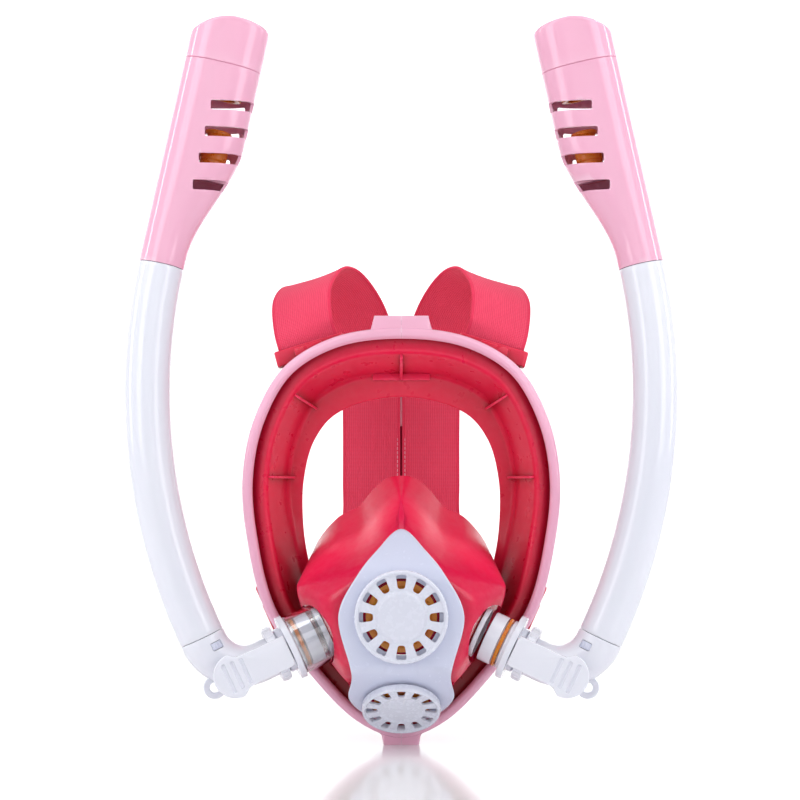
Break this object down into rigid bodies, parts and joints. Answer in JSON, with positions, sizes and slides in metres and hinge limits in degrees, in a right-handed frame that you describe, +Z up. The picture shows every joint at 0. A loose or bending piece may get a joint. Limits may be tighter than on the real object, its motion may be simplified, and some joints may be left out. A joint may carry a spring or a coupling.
{
  "type": "full face snorkel mask",
  "caption": "Full face snorkel mask with a clear window, a silicone face skirt and nose cup, round valve covers, elastic head straps and swivelling side tubes with dry tops.",
  "frame": {"origin": "middle of the face seal's plane", "axes": "+Z up, +X to the wearer's left, -Y the way the wearer looks"},
  "size_m": [0.2998, 0.1695, 0.3985],
  "materials": {
    "clear_lens": "clear polycarbonate, polished",
    "pink_gloss": "pale pink moulded plastic, glossy",
    "white_gloss": "white moulded plastic with a slight lavender cast, glossy",
    "panel_grey": "pale blue grey moulded plastic, satin gloss",
    "cover_grey": "pale blue grey moulded plastic, satin",
    "skirt_silicone": "crimson silicone, soft satin",
    "cup_silicone": "crimson silicone, satin",
    "strap_elastic": "coral red woven elastic with fine ribs",
    "amber_silicone": "translucent amber silicone",
    "steel": "stainless steel"
  },
  "bodies": {
    "mask": {"lens": "clear_lens", "frame_left": "pink_gloss", "frame_right": "pink_gloss", "frame_screw_top": "steel", "frame_screw_bottom": "steel", "face_skirt": "skirt_silicone", "nose_cup": "cup_silicone", "front_panel": "panel_grey", "strap_seam": "strap_elastic", "main_valve_seat": "cup_silicone", "main_valve_cover": "cover_grey", "drain_valve_seat": "cup_silicone", "drain_valve_cover": "cover_grey", "strap_left": "strap_elastic", "strap_right": "strap_elastic", "strap_clip_top_left": "skirt_silicone", "strap_clip_top_right": "skirt_silicone", "strap_clip_bottom_left": "skirt_silicone", "strap_clip_bottom_right": "skirt_silicone", "inlet_seat_left": "white_gloss", "inlet_seat_right": "white_gloss"},
    "main_diaphragm": {"main_valve_diaphragm": "amber_silicone"},
    "drain_diaphragm": {"drain_valve_diaphragm": "amber_silicone"},
    "snorkel_left": {"elbow_left": "white_gloss", "port_o_ring_left": "amber_silicone", "lock_collar_left": "white_gloss", "lever_pin_left": "steel", "lever_spring_left": "steel", "tube_o_ring_left": "amber_silicone", "tube_left": "white_gloss", "snorkel_head_left": "pink_gloss", "head_cap_left": "pink_gloss", "float_seat_left": "amber_silicone"},
    "snorkel_right": {"elbow_right": "white_gloss", "port_o_ring_right": "amber_silicone", "lock_collar_right": "white_gloss", "lever_pin_right": "steel", "lever_spring_right": "steel", "tube_o_ring_right": "amber_silicone", "tube_right": "white_gloss", "snorkel_head_right": "pink_gloss", "head_cap_right": "pink_gloss", "float_seat_right": "amber_silicone"},
    "lever_left": {"lock_lever_left": "white_gloss"},
    "lever_right": {"lock_lever_right": "white_gloss"},
    "latch_left": {"tube_latch_left": "panel_grey"},
    "latch_right": {"tube_latch_right": "panel_grey"},
    "dry_float_left": {"float_left": "amber_silicone"},
    "dry_float_right": {"float_right": "amber_silicone"},
    "inlet_valve_left": {"inlet_flap_left": "skirt_silicone"},
    "inlet_valve_right": {"inlet_flap_right": "skirt_silicone"}
  },
  "joints": [
    {"name": "swivel_left", "type": "hinge", "parent": "mask", "child": "snorkel_left", "pos_m": [0.0593, -0.06, -0.0623], "axis": [0.8975, -0.1392, -0.4185], "range_deg": [-40, 40]},
    {"name": "swivel_right", "type": "hinge", "parent": "mask", "child": "snorkel_right", "pos_m": [-0.0593, -0.06, -0.0623], "axis": [0.8975, 0.1392, 0.4185], "range_deg": [-40, 40]},
    {"name": "lever_press_left", "type": "hinge", "parent": "snorkel_left", "child": "lever_left", "pos_m": [0.07741, -0.07594, -0.07074], "axis": [0.4226, 0, 0.9063], "range_deg": [0, 7], "stiffness_Nm_per_rad": 0.4, "springref_deg": -8.59},
    {"name": "lever_press_right", "type": "hinge", "parent": "snorkel_right", "child": "lever_right", "pos_m": [-0.07741, -0.07594, -0.07074], "axis": [0.4226, 0, -0.9063], "range_deg": [0, 7], "stiffness_Nm_per_rad": 0.4, "springref_deg": -8.59},
    {"name": "latch_press_left", "type": "slide", "parent": "snorkel_left", "child": "latch_left", "axis": [0.4936, 0.8387, -0.2302], "range_m": [0, 0.0012], "stiffness_N_per_m": 500},
    {"name": "latch_press_right", "type": "slide", "parent": "snorkel_right", "child": "latch_right", "axis": [-0.4936, 0.8387, -0.2302], "range_m": [0, 0.0012], "stiffness_N_per_m": 500},
    {"name": "float_rise_left", "type": "slide", "parent": "snorkel_left", "child": "dry_float_left", "axis": [-0.2111, 0.0847, 0.9738], "range_m": [0, 0.017]},
    {"name": "float_rise_right", "type": "slide", "parent": "snorkel_right", "child": "dry_float_right", "axis": [0.2111, 0.0847, 0.9738], "range_m": [0, 0.017]},
    {"name": "inlet_valve_open_left", "type": "slide", "parent": "mask", "child": "inlet_valve_left", "axis": [-0.8975, 0.1392, 0.4185], "range_m": [0, 0.0012], "stiffness_N_per_m": 60},
    {"name": "inlet_valve_open_right", "type": "slide", "parent": "mask", "child": "inlet_valve_right", "axis": [0.8975, 0.1392, 0.4185], "range_m": [0, 0.0012], "stiffness_N_per_m": 60},
    {"name": "main_valve_lift", "type": "slide", "parent": "mask", "child": "main_diaphragm", "axis": [0, -1, 0], "range_m": [0, 0.001], "stiffness_N_per_m": 60},
    {"name": "drain_valve_lift", "type": "slide", "parent": "mask", "child": "drain_diaphragm", "axis": [0, -0.6428, -0.766], "range_m": [0, 0.001], "stiffness_N_per_m": 60}
  ]
}
